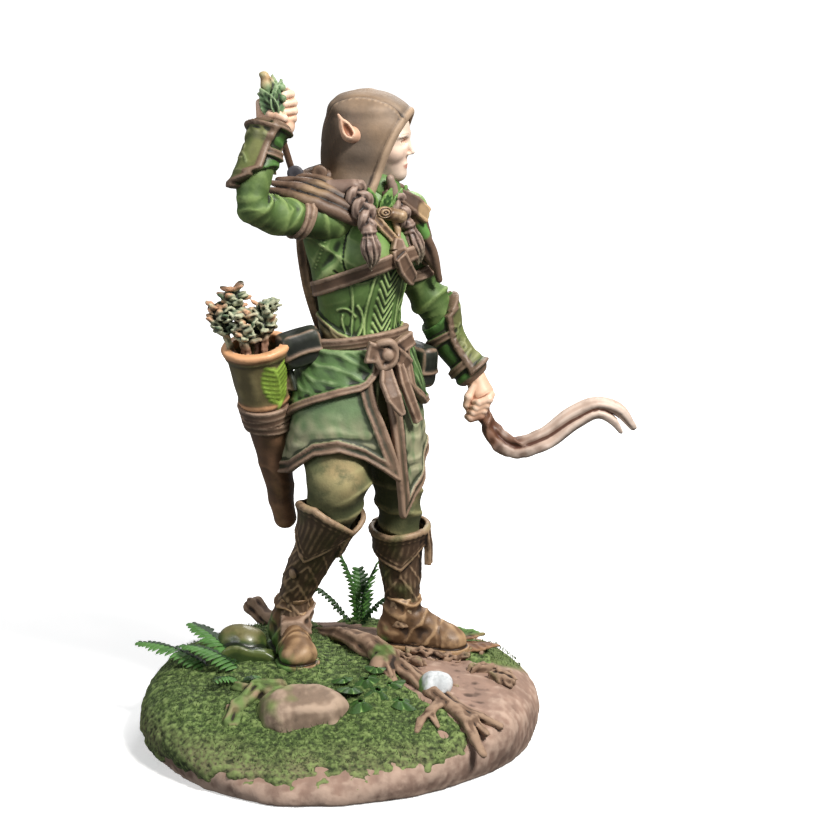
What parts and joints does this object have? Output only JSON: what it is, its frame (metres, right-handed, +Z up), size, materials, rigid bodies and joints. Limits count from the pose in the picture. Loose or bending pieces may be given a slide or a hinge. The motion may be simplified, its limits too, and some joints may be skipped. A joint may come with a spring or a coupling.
{
  "type": "miniature figure",
  "caption": "Painted display miniature of a hooded archer drawing an arrow, with a quiver, a carved bow and a scenic round base.",
  "frame": {"origin": "middle of the flat underside of the scenic base", "axes": "+Z up out of the base, +X the way the head looks, -Y the side of the raised hand"},
  "size_m": [0.0643, 0.046, 0.0844],
  "materials": {
    "earth_resin": "matte",
    "turf_flock": "matte",
    "rock_resin": "matte",
    "boulder_resin": "gloss",
    "pebble_resin": "satin",
    "root_resin": "matte",
    "leaf_paper": "matte",
    "brass_pin": "satin",
    "hood_brown": "matte",
    "skin": "satin",
    "hair": "matte",
    "green_leather": "satin",
    "khaki_leather": "satin",
    "sage_skirt": "matte",
    "trouser_green": "matte",
    "boot_brown": "satin",
    "strap_brown": "satin",
    "quiver_leather": "satin",
    "arrow_leaf": "matte",
    "bow_bone": "satin"
  },
  "bodies": {
    "root": {"ankle_strap": "boot_brown", "arm_bands": "strap_brown", "arrow_leaves": "arrow_leaf", "assembly_pins": "brass_pin", "bark_chips": "root_resin", "belt": "strap_brown", "belt_knot": "strap_brown", "belt_tails": "strap_brown", "bow": "bow_bone", "brooch": "strap_brown", "cape": "hood_brown", "chest_strap": "strap_brown", "chest_tag": "strap_brown", "collar_leaves": "green_leather", "cowl_roll": "hood_brown", "drawn_arrow": "arrow_leaf", "dry_leaf": "leaf_paper", "ears": "skin", "fallen_root": "root_resin", "fern_front": "leaf_paper", "fern_rear": "leaf_paper", "front_rock": "rock_resin", "head": "skin", "hip_flap_left": "sage_skirt", "hip_flap_right": "sage_skirt", "hip_pouch": "strap_brown", "hips": "trouser_green", "hood": "hood_brown", "ivy_leaves": "leaf_paper", "left_boot": "boot_brown", "left_bracer": "khaki_leather", "left_braid": "hair", "left_greave": "boot_brown", "left_hand": "skin", "left_leg": "trouser_green", "left_upper_arm": "green_leather", "mantle_left": "hood_brown", "mantle_right": "hood_brown", "mossy_boulder": "boulder_resin", "neck_cord": "strap_brown", "quiver": "quiver_leather", "quiver_arrows": "arrow_leaf", "quiver_band": "quiver_leather", "rear_pouch": "strap_brown", "right_boot": "boot_brown", "right_bracer": "khaki_leather", "right_braid": "hair", "right_greave": "boot_brown", "right_hand": "skin", "right_leg": "trouser_green", "right_upper_arm": "green_leather", "scenic_base": "earth_resin", "skirt_back": "sage_skirt", "skirt_left": "sage_skirt", "skirt_right": "sage_skirt", "torso": "green_leather", "turf_cover": "turf_flock", "twigs": "root_resin", "white_pebble": "pebble_resin"}
  },
  "joints": []
}
